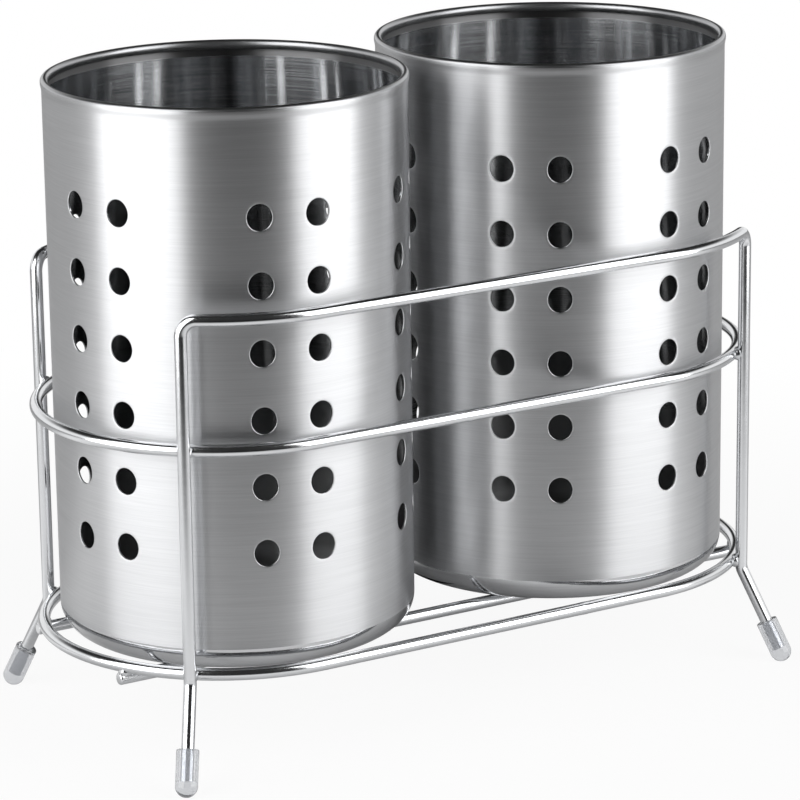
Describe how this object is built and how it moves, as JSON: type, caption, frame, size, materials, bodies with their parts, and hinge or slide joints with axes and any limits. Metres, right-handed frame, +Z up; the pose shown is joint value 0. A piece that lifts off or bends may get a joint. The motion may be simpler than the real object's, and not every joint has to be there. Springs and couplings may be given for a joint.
{
  "type": "chopstick holder",
  "caption": "Chopstick holder: perforated brushed steel cups with curled rims standing loose in a welded chrome wire rack on splayed, plastic-capped feet.",
  "frame": {"origin": "middle of the rack on the table, under the point half way between the cups", "axes": "+X along the row of cups to the right, +Y to the back, +Z up"},
  "size_m": [0.2194, 0.1158, 0.1836],
  "materials": {
    "chrome_wire": "bright plated wire",
    "brushed_steel": "brushed around the outside, polished inside",
    "clear_plastic": "translucent frosted plastic"
  },
  "bodies": {
    "rack": {"lower_ring": "chrome_wire", "middle_ring": "chrome_wire", "front_hoop": "chrome_wire", "rear_hoop": "chrome_wire", "front_base_wire": "chrome_wire", "rear_base_wire": "chrome_wire", "lower_ring_welds": "chrome_wire", "middle_ring_welds": "chrome_wire", "base_wire_welds": "chrome_wire", "front_left_cap": "clear_plastic", "front_right_cap": "clear_plastic", "rear_left_cap": "clear_plastic", "rear_right_cap": "clear_plastic"},
    "left_cup": {"left_cup": "brushed_steel"},
    "right_cup": {"right_cup": "brushed_steel"}
  },
  "joints": [
    {"name": "left_cup_lift", "type": "slide", "parent": "rack", "child": "left_cup", "axis": [0, 0, 1], "range_m": [0, 0.12]},
    {"name": "right_cup_lift", "type": "slide", "parent": "rack", "child": "right_cup", "axis": [0, 0, 1], "range_m": [0, 0.12]}
  ]
}
